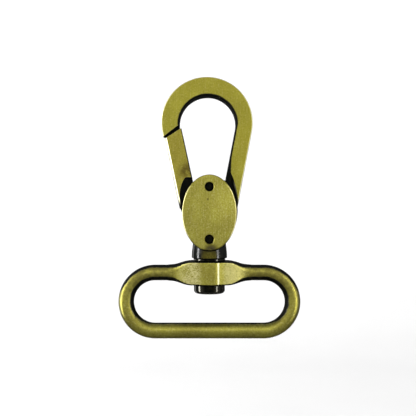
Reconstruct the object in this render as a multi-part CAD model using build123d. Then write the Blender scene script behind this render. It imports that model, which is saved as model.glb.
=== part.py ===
"""Swivel snap hook for a 38 mm strap: a sprung gate hook on a swivel stud, over an oval strap ring.

Millimetres, +Z up towards the hook's eye, +X to the right seen from the front, -Y towards the viewer.
The origin is under the swivel axis, at the strap ring's lowest point. Every piece is drawn about the
centre of the ring's boss, on the swivel axis, and lifted to its place when it is written.
The hook and its gate are die castings that lie in one layer. Two oval cover plates sandwich them, held by
two drive rivets. The upper rivet is the gate's pivot. The lower one also cross-pins the swivel stud.
"""

import os
from math import acos, atan2, cos, degrees, hypot, radians, sin

from build123d import *

# ---------------------------------------------------------------- driving dimensions
# Hook outline, seen from the front
EYE_CENTRE = (-0.6, 37.53)    # centre of the hook's round top, outside
EYE_R = 11.42
OPENING_CENTRE = (-0.46, 37.23)  # and of its opening
OPENING_R = 7.04
ROOT_CENTRE = (-0.25, 9.0)    # the outline's straight sides run down towards this circle
ROOT_R = 5.75
ARMS_END = 13.0               # and end at this height, behind the cover plates
THROAT_CENTRE = (-0.37, 24.0)  # the opening narrows towards this circle
THROAT_R = 4.46
THROAT_FLOOR = 23.2           # height of the bottom of the opening
ARM_HALF = 2.5                # half the thickness of the hook's arm, nose and gate
EDGE_ROUND = 0.35             # edge radius of the hook casting

# Gate, a straight bar that is a little thicker than the nose it closes on
GATE_OUTER = ((-11.62, 36.3), (-6.55, 12.0))  # its outer side, from above the tip to behind the plates
GATE_INNER = ((-7.25, 37.3), (-4.15, 23.0))   # its inner side, from above the tip to the opening's floor
GATE_BEVEL = 0.45             # on its outer edges, where a thumb pushes

# Slit between the nose and the gate's tip
NOSE_OUTER = (-11.24, 34.28)  # a point on the nose's end face, at the hook's outline
NOSE_ANGLE = 37.3             # slope of the end face, in degrees
SLIT_GAP = 0.7                # at the outline. The slit widens inwards, because
TIP_ANGLE = 32.8              # the gate's tip slopes a little less
TIP_LAP = 1.5                 # the nose's back half reaches this much further, behind the gate's tip
TIP_LAP_GAP = 0.1

# Core and cover plates
CORE_HALF = 2.0               # half the thickness of the layer between the plates
CORE_CENTRE = (0.15, 15.6)
CORE_SEMI = (6.9, 8.9)
SHOULDER = ((-7.35, 16.3), (-6.4, 14.2), (-6.4, 17.0))  # on the core, under the gate's outer end
PLATE_CENTRE = (0.0, 15.08)
PLATE_SEMI = (6.78, 9.5)
PLATE_THICK = 1.8
PLATE_ROUND = 0.35
PLATE_GAP = 0.08              # round a plate, where it is let into the neck
RELIEF_FLOOR = (6.9, 12.5)    # the arm slopes down to the core round the plates, from
RELIEF_TOP = (7.3, 14.8)      # this ellipse on its faces to the one above
POCKET_CENTRE = (0.0, 19.3)   # the gate is stepped instead, inside this ellipse
POCKET_SEMI = (7.43, 8.0)
POCKET_TOP = 23.95            # and below this height
POCKET_CORNER = 0.8

# Rivets
RIVET_R = 1.13
RIVET_SUNK = 0.6              # how far the rivet ends sit below the plates' faces
RIVET_DOME = 0.12

# Gate pivot
PIVOT = (0.0, 21.55)
LOWER_PIN = (0.0, 8.5)
GATE_TRAVEL = 40.0            # degrees from closed to open
HUB_R = 2.75
LAP_Y = 0.4                   # the gate's hub is in front of this plane, the body's web behind it
LAP_GAP = 0.05
SIDE_GAP = 0.05               # between the gate's root and the cover plates
PIVOT_CLEARANCE = 0.05
HUB_GAP = 0.15
LEDGE_ANGLE = 217.0           # direction, from the pivot, of the ledge the closed gate rests on
LEDGE_GAP = 0.08
LUG_R = 3.9                   # the lug on the hub that stops the gate when it is open
LUG_FROM, LUG_TO = -62.0, -22.0

# Gate spring: a torsion spring coiled round the upper rivet, in a recess in the hub's back
WIRE_R = 0.2
COIL_R = 1.6
COIL_TURNS = 2
COIL_PITCH = 0.42
SPRING_RECESS_R = 1.95
SPRING_FRONT_Y = -1.1         # floor of the recess
SPRING_END_GAP = 0.13
LEG_LENGTH = 2.6
LEG_BEND = 0.35
LEG_DEPTH = 1.1               # how far the bent leg reaches into the web
LEG_SLOT = 0.6
SPRING_TURN = 250.0           # direction of the coil's ends from the pivot, in degrees

# Swivel
BOSS_HALF = 2.9               # half the height of the ring's boss
BOSS_R = 5.3
BOSS_BORE_R = 2.57
WASHER_R = 4.0
WASHER_THICK = 0.7
WASHER_BORE_R = 2.58
SWIVEL_PLAY = 0.05
STUD_R = 2.5
STUD_HEAD_R = 3.9
STUD_HEAD_HEIGHT = 2.2
STUD_HEAD_ROUND = 0.85
STUD_SHOULDER = 5.3           # height of the shoulder between shank and tenon
TENON_R = 1.6
TENON_TOP = 10.7
SEAT_CLEARANCE = 0.02
NECK_BASE = BOSS_HALF + WASHER_THICK + 2 * SWIVEL_PLAY
NECK_LIP_R = 4.47
NECK_TOP_R = 4.15
NECK_TOP = 8.6

# Strap ring
STRAP_WIDTH = 38.0
SLOT_HEIGHT = 10.7            # clear height between the ring's bars
BAR_R = 1.97
RING_END_R = SLOT_HEIGHT / 2 + BAR_R
RING_STRAIGHT = STRAP_WIDTH - SLOT_HEIGHT
LIFT = 2 * RING_END_R + BAR_R  # from the ring's lowest point up to the boss's centre

FAR = 40.0                    # reach of a cutter that only has to pass the part


# ---------------------------------------------------------------- helpers
def slab(sketch, front, back):
    """A front-view sketch, drawn flat in XY as (x, z), made solid from y=front to y=back."""
    solid = extrude(sketch, amount=back - front, dir=(0, 0, 1))
    return Pos(0, back, 0) * Rot(90, 0, 0) * solid


def disc(centre, radius):
    return Pos(*centre) * Circle(radius)


def oval(centre, semi):
    return Pos(*centre) * Ellipse(*semi)


def polar(centre, distance, angle):
    """A front-view point at a distance and an angle, in degrees, from a centre."""
    a = radians(angle)
    return (centre[0] + distance * cos(a), centre[1] + distance * sin(a))


def from_pivot(angle, distance):
    return polar(PIVOT, distance, angle)


def tapered_hull(centre_a, radius_a, centre_b, radius_b):
    """The outline round two circles: their far arcs, joined by the two outer tangents."""
    dx, dz = centre_b[0] - centre_a[0], centre_b[1] - centre_a[1]
    gap, axis = hypot(dx, dz), degrees(atan2(dz, dx))
    swing = degrees(acos((radius_a - radius_b) / gap))

    def on_a(angle):
        return polar(centre_a, radius_a, axis + angle)

    def on_b(angle):
        return polar(centre_b, radius_b, axis + angle)

    return make_face([
        ThreePointArc(on_a(swing), on_a(180), on_a(-swing)),
        Line(on_a(-swing), on_b(-swing)),
        ThreePointArc(on_b(-swing), on_b(0), on_b(swing)),
        Line(on_b(swing), on_a(swing)),
    ])


def sector(angle_from, angle_to, radius):
    """A pie slice about the pivot, from its centre out."""
    steps = 8
    sweep_points = [
        from_pivot(angle_from + (angle_to - angle_from) * i / steps, radius * 1.5) for i in range(steps + 1)
    ]
    return Polygon(PIVOT, *sweep_points, align=None) & disc(PIVOT, radius)


def face_edges(solid, y):
    """The edges that lie in the plane of a front or back face."""
    flat = [e for e in solid.edges() if e.bounding_box().size.Y < 1e-4]
    return [e for e in flat if abs(e.bounding_box().min.Y - y) < 1e-4]


# ---------------------------------------------------------------- shared outlines
def hook_outline():
    return tapered_hull(EYE_CENTRE, EYE_R, ROOT_CENTRE, ROOT_R)


def opening_outline():
    """The hook's opening, a teardrop. The core closes its lower end up to the floor."""
    return tapered_hull(OPENING_CENTRE, OPENING_R, THROAT_CENTRE, THROAT_R)


def core_outline():
    above = Pos(0, THROAT_FLOOR + FAR / 2) * Rectangle(FAR, FAR)
    return oval(CORE_CENTRE, CORE_SEMI) - above


def gate_zone(tip_shift, tip_angle, ledge_shift):
    """Where the gate is: below the slit and above the ledge. The shifts draw its two ends back."""
    tip_start = polar(NOSE_OUTER, tip_shift, tip_angle - 90)
    tip_outer = polar(tip_start, 6, tip_angle + 180)
    tip_inner = polar(tip_start, 8, tip_angle)
    root = polar(PIVOT, ledge_shift, LEDGE_ANGLE - 90)
    ledge_end = polar(root, 16, LEDGE_ANGLE)
    above_pivot = (PIVOT[0], tip_inner[1] - 4)
    return Polygon(root, ledge_end, tip_outer, tip_inner, above_pivot, align=None)


def in_two_layers(front_zone, back_zone, gap):
    """A space with one outline in the front half and another in the back half, and a gap between them."""
    return slab(front_zone, -FAR, -gap / 2) + slab(back_zone, gap / 2, FAR)


def hook_blank():
    """The whole link, nose and both arms in one, with its edges rounded."""
    blank = slab(hook_outline(), -ARM_HALF, ARM_HALF)
    blank = fillet(face_edges(blank, -ARM_HALF) + face_edges(blank, ARM_HALF), EDGE_ROUND)
    opening = slab(opening_outline(), -FAR, FAR)
    link = blank - opening
    link = fillet(new_edges(blank, opening, combined=link), EDGE_ROUND)
    return link - Pos(0, 0, ARMS_END - FAR / 2) * Box(FAR, FAR, FAR)


def gate_bar_outline():
    return Polygon(*GATE_OUTER, GATE_INNER[1], GATE_INNER[0], align=None)


def gate_blank():
    """The gate's bar, longer than it will be, with its outer edges bevelled and its inner ones rounded."""
    bar = slab(gate_bar_outline(), -ARM_HALF, ARM_HALF)
    # Its outer edges are its two longest, and its inner ones the next two
    bar = fillet(bar.edges().sort_by(SortBy.LENGTH)[-4:-2], EDGE_ROUND)
    return chamfer(bar.edges().sort_by(SortBy.LENGTH)[-2:], GATE_BEVEL)


def relief(side):
    """The step round a cover plate: everything proud of the core inside a sloping elliptical wall."""
    floor = Plane.XZ.offset(-side * CORE_HALF) * oval(PLATE_CENTRE, RELIEF_FLOOR)
    top = Plane.XZ.offset(-side * (ARM_HALF + 0.01)) * oval(PLATE_CENTRE, RELIEF_TOP)
    return loft([floor, top])


def gate_pocket():
    """The gate's step round the cover plates, as a front-view outline with a rounded upper corner."""
    above = Pos(0, POCKET_TOP + FAR / 2) * Rectangle(FAR, FAR)
    pocket = oval(POCKET_CENTRE, POCKET_SEMI) - above
    return fillet(pocket.vertices().group_by(Axis.Y)[-1], POCKET_CORNER)


# ---------------------------------------------------------------- the pieces
def make_neck():
    """The barrel below the core: a short flared cylinder round the swivel axis, cut away for the plates."""
    profile = Polyline(
        (0, NECK_BASE), (NECK_LIP_R - 0.12, NECK_BASE), (NECK_LIP_R, NECK_BASE + 0.12),
        (NECK_LIP_R - 0.06, 5.2),
        (NECK_TOP_R, 7.4), (NECK_TOP_R - 0.7, NECK_TOP), (0, NECK_TOP), close=True,
    )
    barrel = revolve(Plane.XZ * make_face(profile), Axis.Z)
    seat = oval(PLATE_CENTRE, [semi + PLATE_GAP for semi in PLATE_SEMI])
    return barrel - slab(seat, -FAR, -CORE_HALF) - slab(seat, CORE_HALF, FAR)


def make_hook_body():
    """The main casting: arm, round top and nose, with the core and neck that carry everything else."""
    in_front = gate_zone(0, NOSE_ANGLE, 0)
    behind = in_front - gate_bar_outline() + gate_zone(TIP_LAP, NOSE_ANGLE, 0)
    body = hook_blank() - in_two_layers(in_front, behind, -TIP_LAP_GAP)
    # On the gate's side there is no arm below the ledge, only the core
    body -= Pos(-FAR / 2, 0, PIVOT[1] - FAR / 2) * Box(FAR, FAR, FAR)
    for side in (-1, 1):
        body -= relief(side)
    core = core_outline() + Polygon(*SHOULDER, align=None)
    body += slab(core - in_front, -CORE_HALF, CORE_HALF)
    body += make_neck()
    # Half lap: a pocket in front for the gate's hub and lug, and a web behind it round the rivet
    pocket = disc(PIVOT, HUB_R + HUB_GAP) + sector(LUG_FROM - GATE_TRAVEL - 2, LUG_TO + 2, LUG_R + HUB_GAP)
    body -= slab(pocket, -FAR, LAP_Y)
    body += slab(disc(PIVOT, HUB_R), LAP_Y, CORE_HALF)
    # Bores
    up = (Align.CENTER, Align.CENTER, Align.MIN)
    body -= slab(disc(PIVOT, RIVET_R), -FAR, FAR)
    body -= slab(disc(LOWER_PIN, RIVET_R), -FAR, FAR)
    shank_depth = STUD_SHOULDER + SEAT_CLEARANCE - NECK_BASE
    body -= Pos(0, 0, NECK_BASE - 1) * Cylinder(STUD_R + SEAT_CLEARANCE, shank_depth + 1, align=up)
    tenon_depth = TENON_TOP + 0.2 - NECK_BASE
    body -= Pos(0, 0, NECK_BASE) * Cylinder(TENON_R + SEAT_CLEARANCE, tenon_depth, align=up)
    return body - spring_leg_hole()


def make_gate():
    """The sprung gate: full thickness in its bar, thinner in the core, with a half-lap hub on the rivet."""
    zone = gate_zone(SLIT_GAP, TIP_ANGLE, LEDGE_GAP)
    bar = gate_blank() & in_two_layers(zone, gate_zone(SLIT_GAP + TIP_LAP, TIP_ANGLE, LEDGE_GAP), 0)
    root_half = CORE_HALF - SIDE_GAP
    for front, back in ((-FAR, -root_half), (root_half, FAR)):
        bar -= slab(gate_pocket(), front, back)
    gate = bar + slab(core_outline() & zone, -root_half, root_half)
    # Behind the lap plane the gate stops short of the body's web
    gate -= slab(disc(PIVOT, HUB_R + HUB_GAP), LAP_Y - LAP_GAP, FAR)
    hub = disc(PIVOT, HUB_R) + sector(LUG_FROM, LUG_TO, LUG_R)
    gate += slab(hub, -root_half, LAP_Y - LAP_GAP)
    gate -= slab(disc(PIVOT, RIVET_R + PIVOT_CLEARANCE), -FAR, FAR)
    gate -= slab(disc(PIVOT, SPRING_RECESS_R), SPRING_FRONT_Y, FAR)
    return gate - slab(spring_leg_slot(), SPRING_FRONT_Y, FAR)


def make_cover_plate(side):
    """An oval plate with a rounded rim and two rivet holes. side is -1 for the front and 1 for the back."""
    near, far = sorted((side * CORE_HALF, side * (CORE_HALF + PLATE_THICK)))
    plate = slab(oval(PLATE_CENTRE, PLATE_SEMI), near, far)
    plate = fillet(face_edges(plate, side * (CORE_HALF + PLATE_THICK)), PLATE_ROUND)
    for centre in (PIVOT, LOWER_PIN):
        plate -= slab(disc(centre, RIVET_R), -FAR, FAR)
    face = face_edges(plate, side * (CORE_HALF + PLATE_THICK))
    return chamfer([e for e in face if e.geom_type == GeomType.CIRCLE], 0.12)


def make_rivet(centre):
    """A drive rivet through both plates, with slightly domed ends below the plates' faces."""
    half = CORE_HALF + PLATE_THICK - RIVET_SUNK
    pin = slab(disc(centre, RIVET_R), -half, half)
    return chamfer(face_edges(pin, -half) + face_edges(pin, half), RIVET_DOME, RIVET_DOME * 3)


def spring_path():
    """The wire's centre line: a straight leg, the coil, and a leg turned back along the pivot's axis."""
    coil = Helix(COIL_PITCH, COIL_TURNS * COIL_PITCH, COIL_R, lefthand=True)
    straight = Line(coil @ 0 - (coil % 0) * LEG_LENGTH, coil @ 0)
    bend = TangentArc(coil @ 1, coil @ 1 + Vector(0, -LEG_BEND, LEG_BEND), tangent=coil % 1)
    anchored = Line(bend @ 1, bend @ 1 + (bend % 1) * LEG_DEPTH)
    front = SPRING_FRONT_Y + WIRE_R + SPRING_END_GAP
    placed = Pos(PIVOT[0], front, PIVOT[1]) * Rot(0, -SPRING_TURN, 0) * Rot(-90, 0, 0)
    return placed * Wire([straight, coil, bend, anchored])


def spring_leg_hole():
    """The hole in the body's web that anchors the spring's bent leg."""
    end, along = spring_path() @ 1, spring_path() % 1
    sketch = Plane(origin=end + along * 0.1, z_dir=-along) * Circle(WIRE_R + 0.05)
    return extrude(sketch, amount=LEG_DEPTH + 0.5)


def spring_leg_slot():
    """The slot in the gate's hub that holds the spring's straight leg, as a front-view rectangle."""
    tip, along = spring_path() @ 0, spring_path() % 0
    middle = tip + along * (LEG_LENGTH / 2 - 0.05)
    turn = degrees(atan2(along.Z, along.X))
    return Pos(middle.X, middle.Z) * Rot(0, 0, turn) * Rectangle(LEG_LENGTH + 0.1, LEG_SLOT)


def make_gate_spring():
    """A torsion spring: a straight leg in the gate, two turns, and a leg bent back into the body's web."""
    path = spring_path()
    return sweep(Plane(origin=path @ 0, z_dir=path % 0) * Circle(WIRE_R), path=path)


def make_swivel_stud():
    """A headed stud, pushed up through the ring's boss and washer into the neck, and cross-pinned there."""
    head_top = -BOSS_HALF - 2 * SWIVEL_PLAY
    head_base = head_top - STUD_HEAD_HEIGHT
    up = (Align.CENTER, Align.CENTER, Align.MIN)
    head = Pos(0, 0, head_base) * Cylinder(STUD_HEAD_R, STUD_HEAD_HEIGHT, align=up)
    head = fillet(head.edges().group_by(Axis.Z)[0], STUD_HEAD_ROUND)
    head = fillet(head.edges().group_by(Axis.Z)[-1], 0.2)
    shank = Pos(0, 0, head_top) * Cylinder(STUD_R, STUD_SHOULDER - head_top, align=up)
    tenon = Pos(0, 0, STUD_SHOULDER) * Cylinder(TENON_R, TENON_TOP - STUD_SHOULDER, align=up)
    tenon = chamfer(tenon.edges().group_by(Axis.Z)[-1], 0.3)
    return head + shank + tenon - slab(disc(LOWER_PIN, RIVET_R), -FAR, FAR)


def make_swivel_washer():
    """The thrust washer between the boss and the neck."""
    base = BOSS_HALF + SWIVEL_PLAY
    plain = Cylinder(WASHER_R, WASHER_THICK) - Cylinder(WASHER_BORE_R, WASHER_THICK)
    washer = Pos(0, 0, base + WASHER_THICK / 2) * plain
    rims = [e for e in washer.edges() if e.geom_type == GeomType.CIRCLE and abs(e.radius - WASHER_R) < 1e-3]
    return fillet(rims, 0.25)


def boss_section(x, depth, height, corner):
    """One section of the boss: a rounded rectangle across the bar at x, given as half sizes."""
    return Plane.YZ.offset(x) * RectangleRounded(2 * depth, 2 * height, corner)


def make_strap_ring():
    """The oval ring: a round bar bent to a stadium, swelling to a boss round the swivel bore."""
    half = RING_STRAIGHT / 2
    top_left, top_right = (-half, 0, 0), (half, 0, 0)
    low_left, low_right = (-half, 0, -2 * RING_END_R), (half, 0, -2 * RING_END_R)
    right_side, left_side = (half + RING_END_R, 0, -RING_END_R), (-half - RING_END_R, 0, -RING_END_R)
    path = Wire([
        Line(top_left, top_right), ThreePointArc(top_right, right_side, low_right),
        Line(low_right, low_left), ThreePointArc(low_left, left_side, top_left),
    ])
    bar = sweep(Plane.YZ * Circle(BAR_R), path=path)
    stations = (
        (0, 5.1, BOSS_HALF, 0.4), (1.9, 4.9, BOSS_HALF, 0.4), (3.6, 4.3, BOSS_HALF, 0.45),
        (5.5, 3.6, BOSS_HALF - 0.05, 0.6), (7.4, 2.85, 2.42, 1.1), (9.0, 2.3, 2.1, 1.7),
        (10.8, 1.93, 1.93, 1.9),
    )
    flank = loft([boss_section(*station) for station in stations]) & Box(FAR, FAR, 2 * BOSS_HALF)
    drum = fillet(Cylinder(BOSS_R, 2 * BOSS_HALF).edges().filter_by(GeomType.CIRCLE), 0.4)
    return bar + flank + mirror(flank, Plane.YZ) + drum - Cylinder(BOSS_BORE_R, FAR / 2)


PARTS = {
    "hook_body": make_hook_body,
    "gate": make_gate,
    "front_cover_plate": lambda: make_cover_plate(-1),
    "back_cover_plate": lambda: make_cover_plate(1),
    "gate_pivot_rivet": lambda: make_rivet(PIVOT),
    "lower_rivet": lambda: make_rivet(LOWER_PIN),
    "gate_spring": make_gate_spring,
    "swivel_stud": make_swivel_stud,
    "swivel_washer": make_swivel_washer,
    "strap_ring": make_strap_ring,
}

os.makedirs("parts", exist_ok=True)
for name, make in PARTS.items():
    export_step(Pos(0, 0, LIFT) * make(), f"parts/{name}.step")
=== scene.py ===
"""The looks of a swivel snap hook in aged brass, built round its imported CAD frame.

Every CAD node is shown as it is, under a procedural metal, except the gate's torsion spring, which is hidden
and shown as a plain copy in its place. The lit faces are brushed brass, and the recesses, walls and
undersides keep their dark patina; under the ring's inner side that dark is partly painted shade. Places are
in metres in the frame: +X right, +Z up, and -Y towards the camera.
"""

import math

import bpy
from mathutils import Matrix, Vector


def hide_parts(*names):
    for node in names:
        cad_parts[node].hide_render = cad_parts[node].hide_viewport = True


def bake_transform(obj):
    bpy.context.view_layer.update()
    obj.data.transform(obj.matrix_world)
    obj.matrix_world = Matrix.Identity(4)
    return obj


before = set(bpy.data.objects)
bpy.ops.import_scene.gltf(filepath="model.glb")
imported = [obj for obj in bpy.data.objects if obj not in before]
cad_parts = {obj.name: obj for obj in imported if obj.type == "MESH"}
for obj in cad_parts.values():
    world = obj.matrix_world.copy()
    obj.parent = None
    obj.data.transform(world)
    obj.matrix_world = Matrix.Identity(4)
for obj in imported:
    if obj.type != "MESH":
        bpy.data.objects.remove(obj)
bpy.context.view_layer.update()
MM = 0.001

# ---------------------------------------------------------------- colours
BRASS = (0.345, 0.318, 0.050, 1)
BRASS_WARM = (0.275, 0.245, 0.038, 1)
BRASS_PALE = (0.66, 0.61, 0.29, 1)
BRASS_DULL = (0.16, 0.14, 0.03, 1)
BRASS_GREY = (0.24, 0.23, 0.11, 1)
CASTING_TONE = (0.20, 0.18, 0.0, 1)
GATE_TONE = (0.19, 0.14, 0.006, 1)
PATINA = (0.0012, 0.0016, 0.0012, 1)
PATINA_BROWN = (0.009, 0.008, 0.003, 1)
STAIN = (0.085, 0.062, 0.012, 1)
# Pale of a painted highlight, for the side bevels and the boss's crease
PAINTED_HIGHLIGHT_PALE = (0.80, 0.78, 0.58, 1)
STEEL_TINT = (1.0, 0.96, 0.78, 1)
WIRE_DARK = (0.30, 0.30, 0.31, 1)
WIRE_LIGHT = (0.48, 0.47, 0.45, 1)
FLOOR_DARK = (0.67, 0.67, 0.67, 1)
FLOOR_LIGHT = (0.70, 0.70, 0.70, 1)

# ---------------------------------------------------------------- places on the object
# The ring's two ends are half circles
RING_MID_Z = 9.29 * MM
RING_HALF = 13.65 * MM        # from the ring's middle to the centres of its ends
BOSS_Z = 16.61 * MM
FLANKS_X = 0.6 * MM           # the middle between the boss's two flanks
BOSS_FINISH_Z = (RING_MID_Z + 2 * MM, BOSS_Z - 3 * MM)  # the boss's own finish fades in here, upwards

# The hook's opening is a teardrop round two circles, centred at these heights
OPENING_X = -0.42 * MM
OPENING_Z = (40.61 * MM, 53.84 * MM)
THROAT_R = 4.5 * MM           # radius of the lower circle
OPENING_FLARE = 0.192         # how fast the radius grows with height
FACE_Y = (2.05 * MM, 2.3 * MM)  # from the core's face to where the hook's own face begins
GATE_ROOT_Z = (33.5 * MM, 35.5 * MM)
NECK_TOP_Z = 25.2 * MM

# Marks in the front view: x, z, the radius it is full within and the one it is gone beyond. Millimetres
BRIGHT_ARM = (8.5, 47.0, 3.0, 11.0)
GATE_DARKENING = (-5.7, 42.2, 0.6, 2.8)
TOP_PITS = (6.8, 58.4, 0.4, 1.7)
PLATE_PIT = (-0.38, 35.0, 0.12, 0.42)
PLATE_STAIN = (0.4, 22.2, 0.4, 2.5)
# A painted pool of light on the plate
PLATE_PAINTED_LIGHT = (5.5, 33.5, 0.5, 8.0)

# ---------------------------------------------------------------- stage
CAMERA_X, CAMERA_Z = -0.35 * MM, 32.87 * MM
CAMERA_DISTANCE = 185 * MM
VIEW_WIDTH = 104.96 * MM      # what the camera sees across at the swivel's axis
CENTRE = (0, 0, 33 * MM)
FLOOR_Z, FLOOR_FRONT, FLOOR_HALF_WIDTH = -0.06, -0.6, 1.2
WALL_Y, WALL_TOP = 0.4, 0.8
SWEEP_R = 0.15                # of the curve between floor and wall
SWEEP_ANGLES = (0.3, 0.6, 0.9, 1.2, math.pi / 2)
BACKDROP = (0, WALL_Y, 0.1)

# Area lights: size, place, what it is aimed at, and power in watts
LIGHTS = {
    "front_box": ((0.5, 0.4), (-0.05, -0.75, 0.35), CENTRE, 1.0),
    "left_strip": ((0.10, 0.6), (-0.49, -0.09, 0.05), CENTRE, 4.0),
    "right_strip": ((0.07, 0.6), (0.42, -0.27, 0.05), CENTRE, 2.0),
    "left_rim": ((0.08, 0.5), (-0.22, 0.21, 0.05), CENTRE, 0.2),
    "top_box": ((0.6, 0.4), (0.0, 0.0, 0.6), CENTRE, 0.15),
    "backdrop_light": ((1.0, 0.3), (0.0, 0.12, 0.5), BACKDROP, 1.5),
}


# ---------------------------------------------------------------- node helpers
class Graph:
    """Adds nodes to the shader of a new material or world, and joins them."""

    def __init__(self, owner, shader="Principled BSDF"):
        owner.use_nodes = True
        self.owner = owner
        self.tree = owner.node_tree
        self.shader = self.tree.nodes[shader]

    def node(self, kind, inputs=None, **settings):
        made = self.tree.nodes.new(kind)
        for key, value in settings.items():
            setattr(made, key, value)
        for key, value in (inputs or {}).items():
            self.put(made.inputs[key], value)
        return made

    def put(self, socket, value):
        if isinstance(value, bpy.types.NodeSocket):
            self.tree.links.new(value, socket)
        else:
            socket.default_value = value

    def set(self, name, value):
        """Gives an input of the shader a value, or something to follow."""
        self.put(self.shader.inputs[name], value)

    def blend_input(self, name, factor, other):
        """Blends what an input of the shader already follows with something else."""
        followed = self.shader.inputs[name].links[0].from_socket
        self.set(name, self.between(factor, followed, other))

    def math(self, operation, *values, clamp=False):
        made = self.node("ShaderNodeMath", operation=operation, use_clamp=clamp)
        for i, value in enumerate(values):
            self.put(made.inputs[i], value)
        return made.outputs[0]

    def product(self, first, *others):
        for other in others:
            first = self.math("MULTIPLY", first, other)
        return first

    def absolute(self, value):
        return self.math("ABSOLUTE", value)

    def clamped(self, value, low, high):
        return self.math("MAXIMUM", self.math("MINIMUM", value, high), low)

    def ramp(self, value, low, high, to_low=0.0, to_high=1.0, shape="SMOOTHSTEP"):
        """Maps low..high to to_low..to_high, and stays level beyond both."""
        made = self.node("ShaderNodeMapRange", interpolation_type=shape)
        for i, item in enumerate((value, low, high, to_low, to_high)):
            self.put(made.inputs[i], item)
        return made.outputs[0]

    def between(self, factor, a, b):
        """A number that goes from a to b as the factor goes from 0 to 1."""
        return self.ramp(factor, 0.0, 1.0, a, b)

    def mix(self, factor, a, b):
        """A colour that goes from a to b as the factor goes from 0 to 1."""
        made = self.node("ShaderNodeMix", data_type="RGBA")
        self.put(made.inputs[0], factor)
        self.put(made.inputs[6], a)
        self.put(made.inputs[7], b)
        return made.outputs[2]

    def vector(self, operation, *values):
        """A vector operation's outputs: the first is a vector, and "Value" is a number."""
        return self.node("ShaderNodeVectorMath", dict(enumerate(values)), operation=operation).outputs

    def noise(self, stretch, detail=3.0, rough=0.55):
        """Noise over the object, with its scales per millimetre along x, y and z."""
        coords = self.node("ShaderNodeTexCoord").outputs["Object"]
        scale = [s / MM for s in stretch]
        spread = self.node("ShaderNodeMapping", {"Vector": coords, "Scale": scale}).outputs[0]
        inputs = {"Vector": spread, "Scale": 1.0, "Detail": detail, "Roughness": rough}
        return self.node("ShaderNodeTexNoise", inputs).outputs["Fac"]

    def openness(self, distance, inside=False):
        """Ambient occlusion: 1 where nothing is near, falling to 0 in a hollow."""
        made = self.node("ShaderNodeAmbientOcclusion", {"Distance": distance}, samples=8, inside=inside)
        return made.outputs["AO"]


def new_material(name):
    return Graph(bpy.data.materials.new(name))


# ---------------------------------------------------------------- masks
def common_masks(g):
    """What every metal here uses: place, facing, two noises, its edges and its hollows."""
    normal = g.node("ShaderNodeNewGeometry").outputs["Normal"]
    split = g.node("ShaderNodeSeparateXYZ", {0: normal}).outputs
    place = g.node("ShaderNodeSeparateXYZ", {0: g.node("ShaderNodeTexCoord").outputs["Object"]}).outputs
    soft = g.node("ShaderNodeBevel", {"Radius": 0.35 * MM}, samples=6).outputs[0]
    bend = g.math("SUBTRACT", 1.0, g.vector("DOT_PRODUCT", soft, normal)["Value"])
    outer_edge = g.ramp(g.openness(0.5 * MM, inside=True), 0.7, 0.25)
    return {
        "place": place,
        "normal": normal,
        "sideways": g.absolute(split[0]),
        "upward": split[2],
        "facing": g.absolute(split[1]),
        "fine": g.noise((0.9, 0.9, 0.9), 4.0, 0.65),
        "cloud": g.noise((0.22, 0.22, 0.16)),
        "edge": g.product(g.ramp(bend, 0.03, 0.18), outer_edge),
        "hollow": g.ramp(g.openness(2.2 * MM), 0.75, 0.35),
    }


def distance_to(g, place, x, z):
    """How far a point is from another in the front view."""
    dx = g.math("SUBTRACT", place[0], x)
    dz = g.math("SUBTRACT", place[2], z)
    return g.math("SQRT", g.math("ADD", g.product(dx, dx), g.product(dz, dz)))


def near(g, place, x, z, inner, outer):
    """1 within the inner radius of a point in the front view, fading to 0 at the outer one. Millimetres."""
    return g.ramp(distance_to(g, place, x * MM, z * MM), outer * MM, inner * MM)


def ragged(g, masks, amount, value):
    """The value, moved up and down by the fine noise."""
    return g.math("MULTIPLY_ADD", g.math("SUBTRACT", masks["fine"], 0.5), amount, value)


def outwardness(g, masks, middle_x, middle_z):
    """How far the surface faces away from a middle line in the front view, from -1 to 1."""
    away_x = g.math("SUBTRACT", masks["place"][0], middle_x)
    away_z = g.math("SUBTRACT", masks["place"][2], middle_z)
    away = g.node("ShaderNodeCombineXYZ", {0: away_x, 1: 0.0, 2: away_z}).outputs[0]
    return g.vector("DOT_PRODUCT", g.vector("NORMALIZE", away)[0], masks["normal"])["Value"]


def depth_from_opening(g, place):
    """How far a point in the front view lies outside the hook's opening."""
    height = g.clamped(place[2], *OPENING_Z)
    edge = g.math("MULTIPLY_ADD", g.math("SUBTRACT", height, OPENING_Z[0]), OPENING_FLARE, THROAT_R)
    return g.math("SUBTRACT", distance_to(g, place, OPENING_X, height), edge)


def side_gloss(g, masks, gloss):
    """Oily black metal is dull in front and behind, where it has been handled, and glossy at its sides."""
    return g.ramp(masks["facing"], 0.97, 0.87, 0.04, gloss)


# ---------------------------------------------------------------- brass
def brighter(g, factor, metal, gain):
    """The metal with its colour multiplied by gain where the factor is 1, so that its texture stays."""
    return g.mix(factor, metal, g.vector("MULTIPLY", metal, (gain, gain, gain))[0])


def brushed(g, masks, grain):
    """Brass brushed up and down, with slow changes of tone and specks. Gives its colour and its lines."""
    lines = g.noise((7.0, 7.0, 0.25), 4.0, 0.7)
    metal = g.mix(g.ramp(masks["cloud"], 0.35, 0.68), BRASS_WARM, BRASS)
    metal = g.mix(g.product(g.ramp(lines, 0.5, 0.8), 0.28 * grain), metal, BRASS_PALE)
    metal = g.mix(g.product(g.ramp(lines, 0.5, 0.2), 0.4 * grain), metal, BRASS_DULL)
    speck = g.noise((2.4, 2.4, 2.4), 3.0, 0.7)
    metal = g.mix(g.product(g.ramp(speck, 0.5, 0.7), 0.65), metal, BRASS_DULL)
    metal = g.mix(g.product(g.ramp(speck, 0.48, 0.32), 0.25), metal, BRASS_PALE)
    return metal, lines


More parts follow.
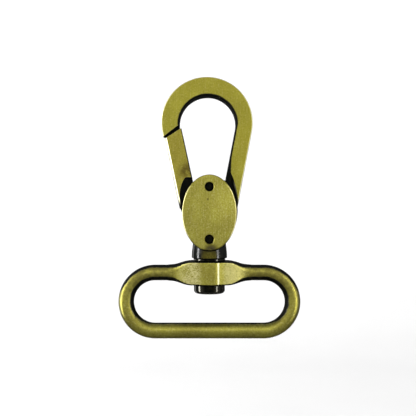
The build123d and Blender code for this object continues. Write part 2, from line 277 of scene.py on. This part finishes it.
def finish_metal(g, masks, buffed, metal, lines, grain, rough, pits=0.0):
    """Brass where it has been buffed and patina elsewhere, with worn edges, brushing and small pits."""
    fine, edge = masks["fine"], masks["edge"]
    dark = g.mix(g.ramp(fine, 0.45, 0.75), PATINA, PATINA_BROWN)
    shown = g.math("MULTIPLY", buffed, g.math("MULTIPLY_ADD", masks["hollow"], -0.9, 1.0), clamp=True)
    worn = g.product(edge, g.ramp(shown, 0.05, 0.6, 0.0, 0.75))
    g.set("Base Color", g.mix(worn, g.mix(shown, dark, metal), BRASS_PALE))
    g.set("Metallic", g.ramp(shown, 0.1, 0.7, 0.0, 0.95))
    g.set("Specular IOR Level", g.ramp(shown, 0.0, 0.6, 0.04, 0.5))
    roughness = g.math("MULTIPLY_ADD", lines, 0.2, rough)
    g.set("Roughness", g.math("SUBTRACT", roughness, g.product(edge, 0.1)))
    height = g.math("MULTIPLY_ADD", lines, 0.5 * grain, g.product(fine, 0.6))
    height = g.math("ADD", height, pits)
    bump = g.node("ShaderNodeBump", {"Height": height, "Strength": 0.2, "Distance": 0.05 * MM})
    g.set("Normal", bump.outputs[0])


# ---------------------------------------------------------------- the hook's and gate's brass
def casting_marks(g, masks, metal):
    """A brighter stretch of the arm, a brown darkening at the gate's inner edge and pits on the round top."""
    place = masks["place"]
    metal = brighter(g, near(g, place, *BRIGHT_ARM), metal, 1.13)
    rubbed = g.product(near(g, place, *GATE_DARKENING), g.ramp(masks["fine"], 0.25, 0.55))
    metal = g.mix(g.product(rubbed, 0.85), metal, STAIN)
    speck = g.noise((4.5, 4.5, 4.5), 2.0)
    pitted = g.product(near(g, place, *TOP_PITS), g.ramp(speck, 0.5, 0.62))
    return g.mix(g.product(pitted, 0.8), metal, BRASS_DULL)


def pale_edges_and_painted_highlight(g, masks, metal, outward):
    """The outer edges are pale, partly worn and partly a painted highlight, and the bevels down the sides
    carry a painted highlight most of all.
    """
    facing = masks["facing"]
    outer = g.product(g.ramp(outward, 0.15, 0.5), g.ramp(facing, 0.5, 0.8))
    metal = g.mix(g.product(outer, 0.4), metal, BRASS_PALE)
    # Painted highlight on the bevels down the sides, where the side lights would glint
    bevel = g.product(g.ramp(masks["sideways"], 0.4, 0.65), g.ramp(facing, 0.25, 0.5))
    return g.mix(g.product(bevel, 0.75), metal, PAINTED_HIGHLIGHT_PALE)


def buffed_faces(g, masks, outward, broken):
    """The front and back faces, except for the edges round the opening and what lies back at the core."""
    inner = g.ramp(outward, -0.02, -0.2)
    face = g.ramp(broken, g.between(inner, 0.35, 0.86), g.between(inner, 0.75, 0.97))
    off_middle = g.absolute(masks["place"][1])
    face = g.product(face, g.ramp(off_middle, *FACE_Y))
    # The arm's slope down to the plates is half rubbed, so the patina fades out there
    slope = g.product(
        g.ramp(off_middle, 2.1 * MM, 2.5 * MM, 0.0, 0.5),
        g.ramp(masks["place"][0], 4.0 * MM, 4.5 * MM),
        g.ramp(masks["place"][2], 39.8 * MM, 37.5 * MM),
        g.ramp(masks["facing"], 0.3, 0.7),
    )
    return g.math("MAXIMUM", face, slope)


def opening_band(g, masks, inner_band):
    """0 in the band of patina along the opening, which widens down towards the plates, and 1 beyond it."""
    lower = g.ramp(masks["place"][2], 46 * MM, 40.5 * MM)
    band = g.product(g.math("MULTIPLY_ADD", lower, 1.6, 1.0), inner_band * MM)
    depth = ragged(g, masks, -0.3 * MM, depth_from_opening(g, masks["place"]))
    return g.ramp(depth, band, g.math("ADD", band, 0.25 * MM))


def rubbed_walls(g, masks, outward):
    """The outer walls, rubbed through in patches."""
    return g.product(
        g.ramp(outward, 0.3, 0.7),
        g.ramp(masks["place"][2], 36 * MM, 48 * MM),
        g.ramp(masks["cloud"], 0.35, 0.65, 0.2, 0.65),
        g.ramp(masks["fine"], 0.3, 0.6, 0.6, 1.0),
    )


def casting_brass(name, tone, inner_band):
    """Brass buffed on the front and back faces, with patina in the steps and on the walls.

    inner_band is how wide, in millimetres, the patina is along the edge of the opening.
    """
    g = new_material(name)
    masks = common_masks(g)
    height = masks["place"][2]
    outward = outwardness(g, masks, OPENING_X, g.clamped(height, *OPENING_Z))
    broken = ragged(g, masks, 0.2, masks["facing"])
    metal, lines = brushed(g, masks, 0.9)
    metal = casting_marks(g, masks, g.mix(0.35, metal, tone))
    metal = pale_edges_and_painted_highlight(g, masks, metal, outward)
    face = g.product(buffed_faces(g, masks, outward, broken), opening_band(g, masks, inner_band))
    face = g.math("MAXIMUM", face, rubbed_walls(g, masks, outward))
    # The gate's lower end stays dark, where it dips behind the plates
    face = g.product(face, g.ramp(height, *GATE_ROOT_Z))
    # The neck below the plates is black, glossy at its sides and brown in front
    on_neck = g.ramp(height, NECK_TOP_Z, NECK_TOP_Z - 0.4 * MM)
    # Painted shadow of the plates: the top of the neck, just under them, stays darker
    shade = g.ramp(height, 22.6 * MM, 20.6 * MM, 0.25, 1.0)
    neck = g.product(g.ramp(broken, 0.84, 1.06), shade, 0.8)
    metal = g.mix(g.product(on_neck, 0.55), metal, STAIN)
    finish_metal(g, masks, g.between(on_neck, face, neck), metal, lines, 0.9, 0.34)
    g.blend_input("Specular IOR Level", on_neck, side_gloss(g, masks, 0.28))
    g.blend_input("Roughness", on_neck, g.ramp(masks["fine"], 0.35, 0.65, 0.08, 0.24))
    return g.owner


# ---------------------------------------------------------------- the plates' and the ring's brass
def plate_brass(name):
    """Brass brushed from top to bottom, with painted highlights on its rim's sides, a painted brighter patch,
    one casting pit and one stain.
    """
    g = new_material(name)
    masks = common_masks(g)
    place, facing, fine = masks["place"], masks["facing"], masks["fine"]
    metal, lines = brushed(g, masks, 1.3)
    metal = g.mix(g.product(near(g, place, *PLATE_PIT), g.ramp(fine, 0.2, 0.45)), metal, STAIN)
    stain = g.product(near(g, place, *PLATE_STAIN), g.ramp(fine, 0.2, 0.5))
    metal = g.mix(g.product(stain, 0.95), metal, STAIN)
    # Painted light: a soft brighter patch towards the plate's right
    metal = brighter(g, near(g, place, *PLATE_PAINTED_LIGHT), metal, 1.22)
    # The rounded rim gets a painted highlight at the sides and painted shade at the top and bottom
    rim = g.product(g.ramp(facing, 0.985, 0.9), g.ramp(facing, 0.3, 0.6))
    at_side = g.ramp(g.absolute(place[0]), 4.0 * MM, 5.5 * MM)
    metal = g.mix(g.product(rim, at_side, 0.8), metal, BRASS_PALE)
    metal = g.mix(g.product(rim, g.math("MULTIPLY_ADD", at_side, -0.6, 0.6)), metal, BRASS_DULL)
    buffed = g.ramp(ragged(g, masks, 0.2, facing), 0.25, 0.6)
    buffed = g.product(buffed, g.math("MULTIPLY_ADD", stain, -0.75, 1.0))
    finish_metal(g, masks, buffed, metal, lines, 1.2, 0.32)
    return g.owner


def ring_buffing(g, masks, top):
    """How buffed the ring is: all but its top and its inner side, which keep the patina, and the inner side
    has painted shade too, deepest under the top bar.
    """
    middle_x = g.clamped(masks["place"][0], -RING_HALF, RING_HALF)
    outward = outwardness(g, masks, middle_x, RING_MID_Z)
    # On the inner side, what faces down is darker and what faces up lighter: patina and painted shade, as if
    # lit from above
    inward = g.math("MULTIPLY", outward, -1.0, clamp=True)
    patina_and_painted_shade = g.product(inward, masks["upward"], 0.75)
    outward = g.product(outward, g.math("MULTIPLY_ADD", top, -1.0, 1.0))
    reach = g.math("ADD", g.math("MULTIPLY_ADD", outward, 0.75, masks["facing"]), patina_and_painted_shade)
    return g.ramp(ragged(g, masks, 0.3, reach), g.between(top, 0.3, 0.68), g.between(top, 0.7, 0.86))


def boss_marks(g, place, metal):
    """The boss's flanks are left as cast, beside the smooth drum, with pale specks that are partly a painted
    sheen, and a painted highlight on the drum's right crease. Gives the colour and the flanks' pits.
    """
    on_boss = g.ramp(place[2], *BOSS_FINISH_Z)
    across = g.absolute(g.math("SUBTRACT", place[0], FLANKS_X))
    flank = g.product(g.ramp(across, 2.0 * MM, 3.8 * MM), g.ramp(across, 9.5 * MM, 5.5 * MM), on_boss)
    grit = g.noise((2.6, 2.6, 3.4), 2.0, 0.6)
    patch = g.noise((0.5, 0.5, 0.5), 2.0)
    shine = g.math("MULTIPLY_ADD", g.math("SUBTRACT", patch, 0.5), 0.6, grit)
    # Pale specks on the flanks: as-cast pits, and partly a painted sheen of the side lights, paler on the
    # left
    pale = g.product(g.ramp(shine, 0.32, 0.7, 0.05, 0.9), g.ramp(place[0], -1 * MM, 3 * MM, 0.9, 0.3))
    metal = g.mix(g.product(flank, pale), metal, BRASS_PALE)
    metal = g.mix(g.product(flank, g.ramp(shine, 0.45, 0.3, 0.0, 0.5)), metal, BRASS_DULL)
    metal = g.mix(g.product(flank, g.ramp(place[0], 2.6 * MM, 4 * MM, 0.0, 0.35)), metal, BRASS_GREY)
    # The crease on the drum's right gets a painted highlight
    crease = g.product(g.ramp(place[0], 1.85 * MM, 2.15 * MM), g.ramp(place[0], 2.6 * MM, 2.25 * MM), on_boss)
    return g.mix(g.product(crease, 0.5), metal, PAINTED_HIGHLIGHT_PALE), g.product(flank, grit, 2.0)


def ring_brass(name):
    """The ring's brass, duller at its ends, along its lower bar and on its top bar beside the boss."""
    g = new_material(name)
    masks = common_masks(g)
    place = masks["place"]
    top = g.ramp(place[2], RING_MID_Z - 1 * MM, BOSS_Z - 2.5 * MM)
    metal, lines = brushed(g, masks, 0.6)
    metal = g.mix(g.product(g.ramp(masks["sideways"], 0.45, 0.8), 0.75), metal, BRASS_GREY)
    metal = brighter(g, g.ramp(place[2], RING_MID_Z - 1 * MM, RING_MID_Z - 5 * MM), metal, 0.86)
    top_bar = g.product(top, g.ramp(g.absolute(place[0]), 7.5 * MM, 10 * MM))
    metal = g.mix(g.product(top_bar, g.ramp(masks["fine"], 0.35, 0.62, 0.3, 0.95)), metal, BRASS_DULL)
    metal, pits = boss_marks(g, place, metal)
    finish_metal(g, masks, ring_buffing(g, masks, top), metal, lines, 0.6, 0.32, pits)
    return g.owner


# ---------------------------------------------------------------- steel and the floor's paint
def dark_steel(name, gloss):
    """Near-black aged steel, with a little brass showing where it has been rubbed."""
    g = new_material(name)
    masks = common_masks(g)
    fine = masks["fine"]
    colour = g.mix(g.ramp(fine, 0.4, 0.75), PATINA, PATINA_BROWN)
    g.set("Base Color", g.mix(g.product(masks["edge"], 0.25), colour, BRASS_WARM))
    g.set("Metallic", 0.0)
    g.set("Specular IOR Level", side_gloss(g, masks, gloss))
    g.set("Specular Tint", STEEL_TINT)
    g.set("Roughness", g.math("MULTIPLY_ADD", fine, 0.12, 0.08))
    bump = g.node("ShaderNodeBump", {"Height": fine, "Strength": 0.3, "Distance": 0.05 * MM})
    g.set("Normal", bump.outputs[0])
    return g.owner


def spring_steel(name):
    """Drawn spring wire: bright, with fine mottling."""
    g = new_material(name)
    fine = g.noise((3.0, 3.0, 3.0))
    g.set("Base Color", g.mix(fine, WIRE_DARK, WIRE_LIGHT))
    g.set("Metallic", 1.0)
    g.set("Roughness", g.math("MULTIPLY_ADD", fine, 0.2, 0.22))
    return g.owner


def floor_paint(name):
    """A plain pale sweep with the faintest mottling."""
    g = new_material(name)
    g.set("Base Color", g.mix(g.noise((0.02, 0.02, 0.02), 2.0), FLOOR_DARK, FLOOR_LIGHT))
    g.set("Roughness", 0.9)
    return g.owner


# ---------------------------------------------------------------- the pieces
def wear(material, *nodes):
    """Puts one material on some CAD nodes."""
    for node in nodes:
        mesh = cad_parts[node].data
        mesh.materials.clear()
        mesh.materials.append(material)


def make_bending_spring():
    """The torsion spring, whose one leg sits in the gate and the other in the hook. Its mesh is copied as it
    is into an object of its own, and the CAD node is hidden.
    """
    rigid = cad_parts["gate_spring"]
    mesh = rigid.data.copy()
    mesh.name = "gate_spring_wire"
    wire = bpy.data.objects.new("gate_spring_wire", mesh)
    bpy.context.scene.collection.objects.link(wire)
    wire.matrix_world = rigid.matrix_world
    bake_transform(wire)
    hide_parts("gate_spring")


# ---------------------------------------------------------------- stage, light and camera
def emitter(name, size, place, target, power):
    light = bpy.data.lights.new(name, "AREA")
    light.shape = "RECTANGLE"
    light.size, light.size_y = size
    light.energy = power
    obj = bpy.data.objects.new(name, light)
    bpy.context.scene.collection.objects.link(obj)
    obj.location = place
    obj.rotation_euler = (Vector(target) - Vector(place)).to_track_quat("-Z", "Y").to_euler()


def make_floor():
    """A pale sheet under the object that curves up into a wall well behind it."""
    sweep_y, sweep_z = WALL_Y - SWEEP_R, FLOOR_Z + SWEEP_R
    profile = [(FLOOR_FRONT, FLOOR_Z), (sweep_y, FLOOR_Z)]
    profile += [(sweep_y + SWEEP_R * math.sin(a), sweep_z - SWEEP_R * math.cos(a)) for a in SWEEP_ANGLES]
    profile += [(WALL_Y, WALL_TOP)]
    vertices = [(x, y, z) for x in (-FLOOR_HALF_WIDTH, FLOOR_HALF_WIDTH) for y, z in profile]
    count = len(profile)
    faces = [(i, i + 1, count + i + 1, count + i) for i in range(count - 1)]
    mesh = bpy.data.meshes.new("floor")
    mesh.from_pydata(vertices, [], faces)
    mesh.shade_smooth()
    mesh.materials.append(floor_paint("pale_sweep"))
    obj = bpy.data.objects.new("floor", mesh)
    obj.visible_glossy = False
    bpy.context.scene.collection.objects.link(obj)


def make_camera():
    """Level and square to the front face, a little left of the swivel's axis."""
    camera = bpy.data.cameras.new("camera")
    obj = bpy.data.objects.new("camera", camera)
    bpy.context.scene.collection.objects.link(obj)
    obj.location = (CAMERA_X, -CAMERA_DISTANCE, CAMERA_Z)
    obj.rotation_euler = (math.pi / 2, 0, 0)
    camera.angle = 2 * math.atan(VIEW_WIDTH / 2 / CAMERA_DISTANCE)
    camera.clip_start = 0.005
    bpy.context.scene.camera = obj


def make_world():
    """A soft studio: bright in front and above, dim behind and below. The camera sees it as plain white."""
    g = Graph(bpy.data.worlds.new("studio"), "Background")
    direction = g.node("ShaderNodeTexCoord").outputs["Generated"]
    split = g.node("ShaderNodeSeparateXYZ", {0: direction}).outputs
    front = g.ramp(split[1], -1.0, 0.6, 0.85, 0.12, shape="LINEAR")
    above = g.ramp(split[2], -0.5, 0.5, 0.55, 1.1, shape="LINEAR")
    seen = g.node("ShaderNodeLightPath").outputs["Is Camera Ray"]
    g.set("Color", (1, 1, 1, 1))
    g.set("Strength", g.between(seen, g.product(front, above), 1.0))
    bpy.context.scene.world = g.owner


wear(casting_brass("aged_brass_casting", CASTING_TONE, 0.4), "hook_body")
wear(casting_brass("aged_brass_gate", GATE_TONE, -1.5), "gate")
wear(plate_brass("brushed_cover_plate"), "front_cover_plate", "back_cover_plate")
wear(ring_brass("aged_brass_ring"), "strap_ring")
wear(dark_steel("blackened_rivet", 0.06), "gate_pivot_rivet", "lower_rivet")
wear(dark_steel("aged_steel", 0.45), "swivel_stud", "swivel_washer")
wear(spring_steel("spring_wire"), "gate_spring")
make_bending_spring()
make_floor()
make_camera()
for light_name, light_settings in LIGHTS.items():
    emitter(light_name, *light_settings)
make_world()
bpy.context.scene.view_settings.view_transform = "Standard"
bpy.context.scene.view_settings.look = "None"
